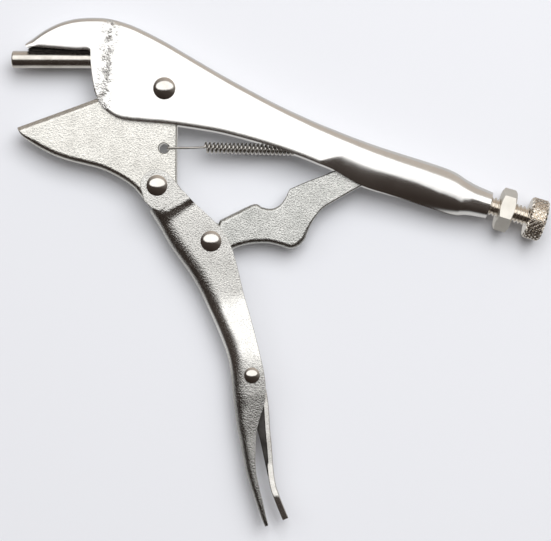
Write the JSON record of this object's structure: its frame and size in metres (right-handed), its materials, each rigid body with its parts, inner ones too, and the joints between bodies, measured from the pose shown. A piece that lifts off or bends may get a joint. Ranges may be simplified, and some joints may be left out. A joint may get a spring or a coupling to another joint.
{
  "type": "locking pliers",
  "caption": "Pinch-off locking pliers with a round bar jaw, a flat pivoting jaw, sheet handles, toggle link, release lever, return spring and a screw adjuster with lock nut.",
  "frame": {"origin": "middle of the footprint in X and Y, at the lowest point of the knob", "axes": "+X towards the knob, +Y towards the spine of the upper handle, +Z along the rivets, up when the tool lies on its side"},
  "size_m": [0.1826, 0.1724, 0.0142],
  "materials": {
    "upper_handle": "satin nickel plate",
    "jaw_rod": "satin nickel plate",
    "rod_weld": "dark weld under the plate",
    "main_rivet": "bright nickel plate",
    "lower_jaw": "fine grained nickel plate",
    "jaw_rivet": "bright nickel plate",
    "lower_handle": "satin nickel plate",
    "toggle_link": "fine grained nickel plate",
    "link_rivet": "bright nickel plate",
    "release_lever": "satin nickel plate",
    "release_rivet": "bright nickel plate",
    "tension_spring": "drawn spring steel",
    "adjusting_screw": "slightly warm nickel plate",
    "knurled_knob": "slightly warm nickel plate",
    "lock_nut": "slightly warm nickel plate"
  },
  "bodies": {
    "upper_body": {"upper_handle": "upper_handle", "jaw_rod": "jaw_rod", "rod_weld": "rod_weld", "main_rivet": "main_rivet", "tension_spring": "tension_spring"},
    "lower_jaw": {"lower_jaw": "lower_jaw"},
    "lower_handle": {"lower_handle": "lower_handle", "jaw_rivet": "jaw_rivet", "link_rivet": "link_rivet", "release_rivet": "release_rivet"},
    "toggle_link": {"toggle_link": "toggle_link"},
    "release_lever": {"release_lever": "release_lever"},
    "adjusting_screw": {"adjusting_screw": "adjusting_screw"},
    "knurled_knob": {"knurled_knob": "knurled_knob"},
    "lock_nut": {"lock_nut": "lock_nut"}
  },
  "joints": [
    {"name": "jaw_hinge", "type": "hinge", "parent": "upper_body", "child": "lower_jaw", "pos_m": [-0.03929, 0.06207, 0.0071], "axis": [0, 0, 1], "range_deg": [-22.5, 0], "stiffness_Nm_per_rad": 0.2, "springref_deg": 28.65, "deforming": ["tension_spring"]},
    {"name": "handle_hinge", "type": "hinge", "parent": "lower_jaw", "child": "lower_handle", "pos_m": [-0.04179, 0.02937, 0.0071], "axis": [0, 0, 1], "range_deg": [0, 67.9]},
    {"name": "link_hinge", "type": "hinge", "parent": "lower_handle", "child": "toggle_link", "pos_m": [-0.02359, 0.01057, 0.0071], "axis": [0, 0, 1], "range_deg": [-67, 0]},
    {"name": "lever_hinge", "type": "hinge", "parent": "lower_handle", "child": "release_lever", "pos_m": [-0.00979, -0.03472, 0.0071], "axis": [0, 0, 1], "range_deg": [-5, 0]},
    {"name": "screw_slide", "type": "slide", "parent": "upper_body", "child": "adjusting_screw", "axis": [0.9588, -0.284, 0], "range_m": [0, 0.008]},
    {"name": "knob_turn", "type": "hinge", "parent": "adjusting_screw", "child": "knurled_knob", "pos_m": [0.08661, 0.01818, 0.0071], "axis": [0.9588, -0.284, 0], "range_deg": [0, 2269]},
    {"name": "nut_slide", "type": "slide", "parent": "adjusting_screw", "child": "lock_nut", "axis": [0.9588, -0.284, 0], "range_m": [-0.0032, 0.0053]}
  ],
  "couplings": [
    {"joint": "jaw_hinge", "follows": "handle_hinge", "ratio": -0.33},
    {"joint": "link_hinge", "follows": "handle_hinge", "ratio": -0.985},
    {"joint": "knob_turn", "follows": "screw_slide", "rad_per_m": 4947.4}
  ]
}
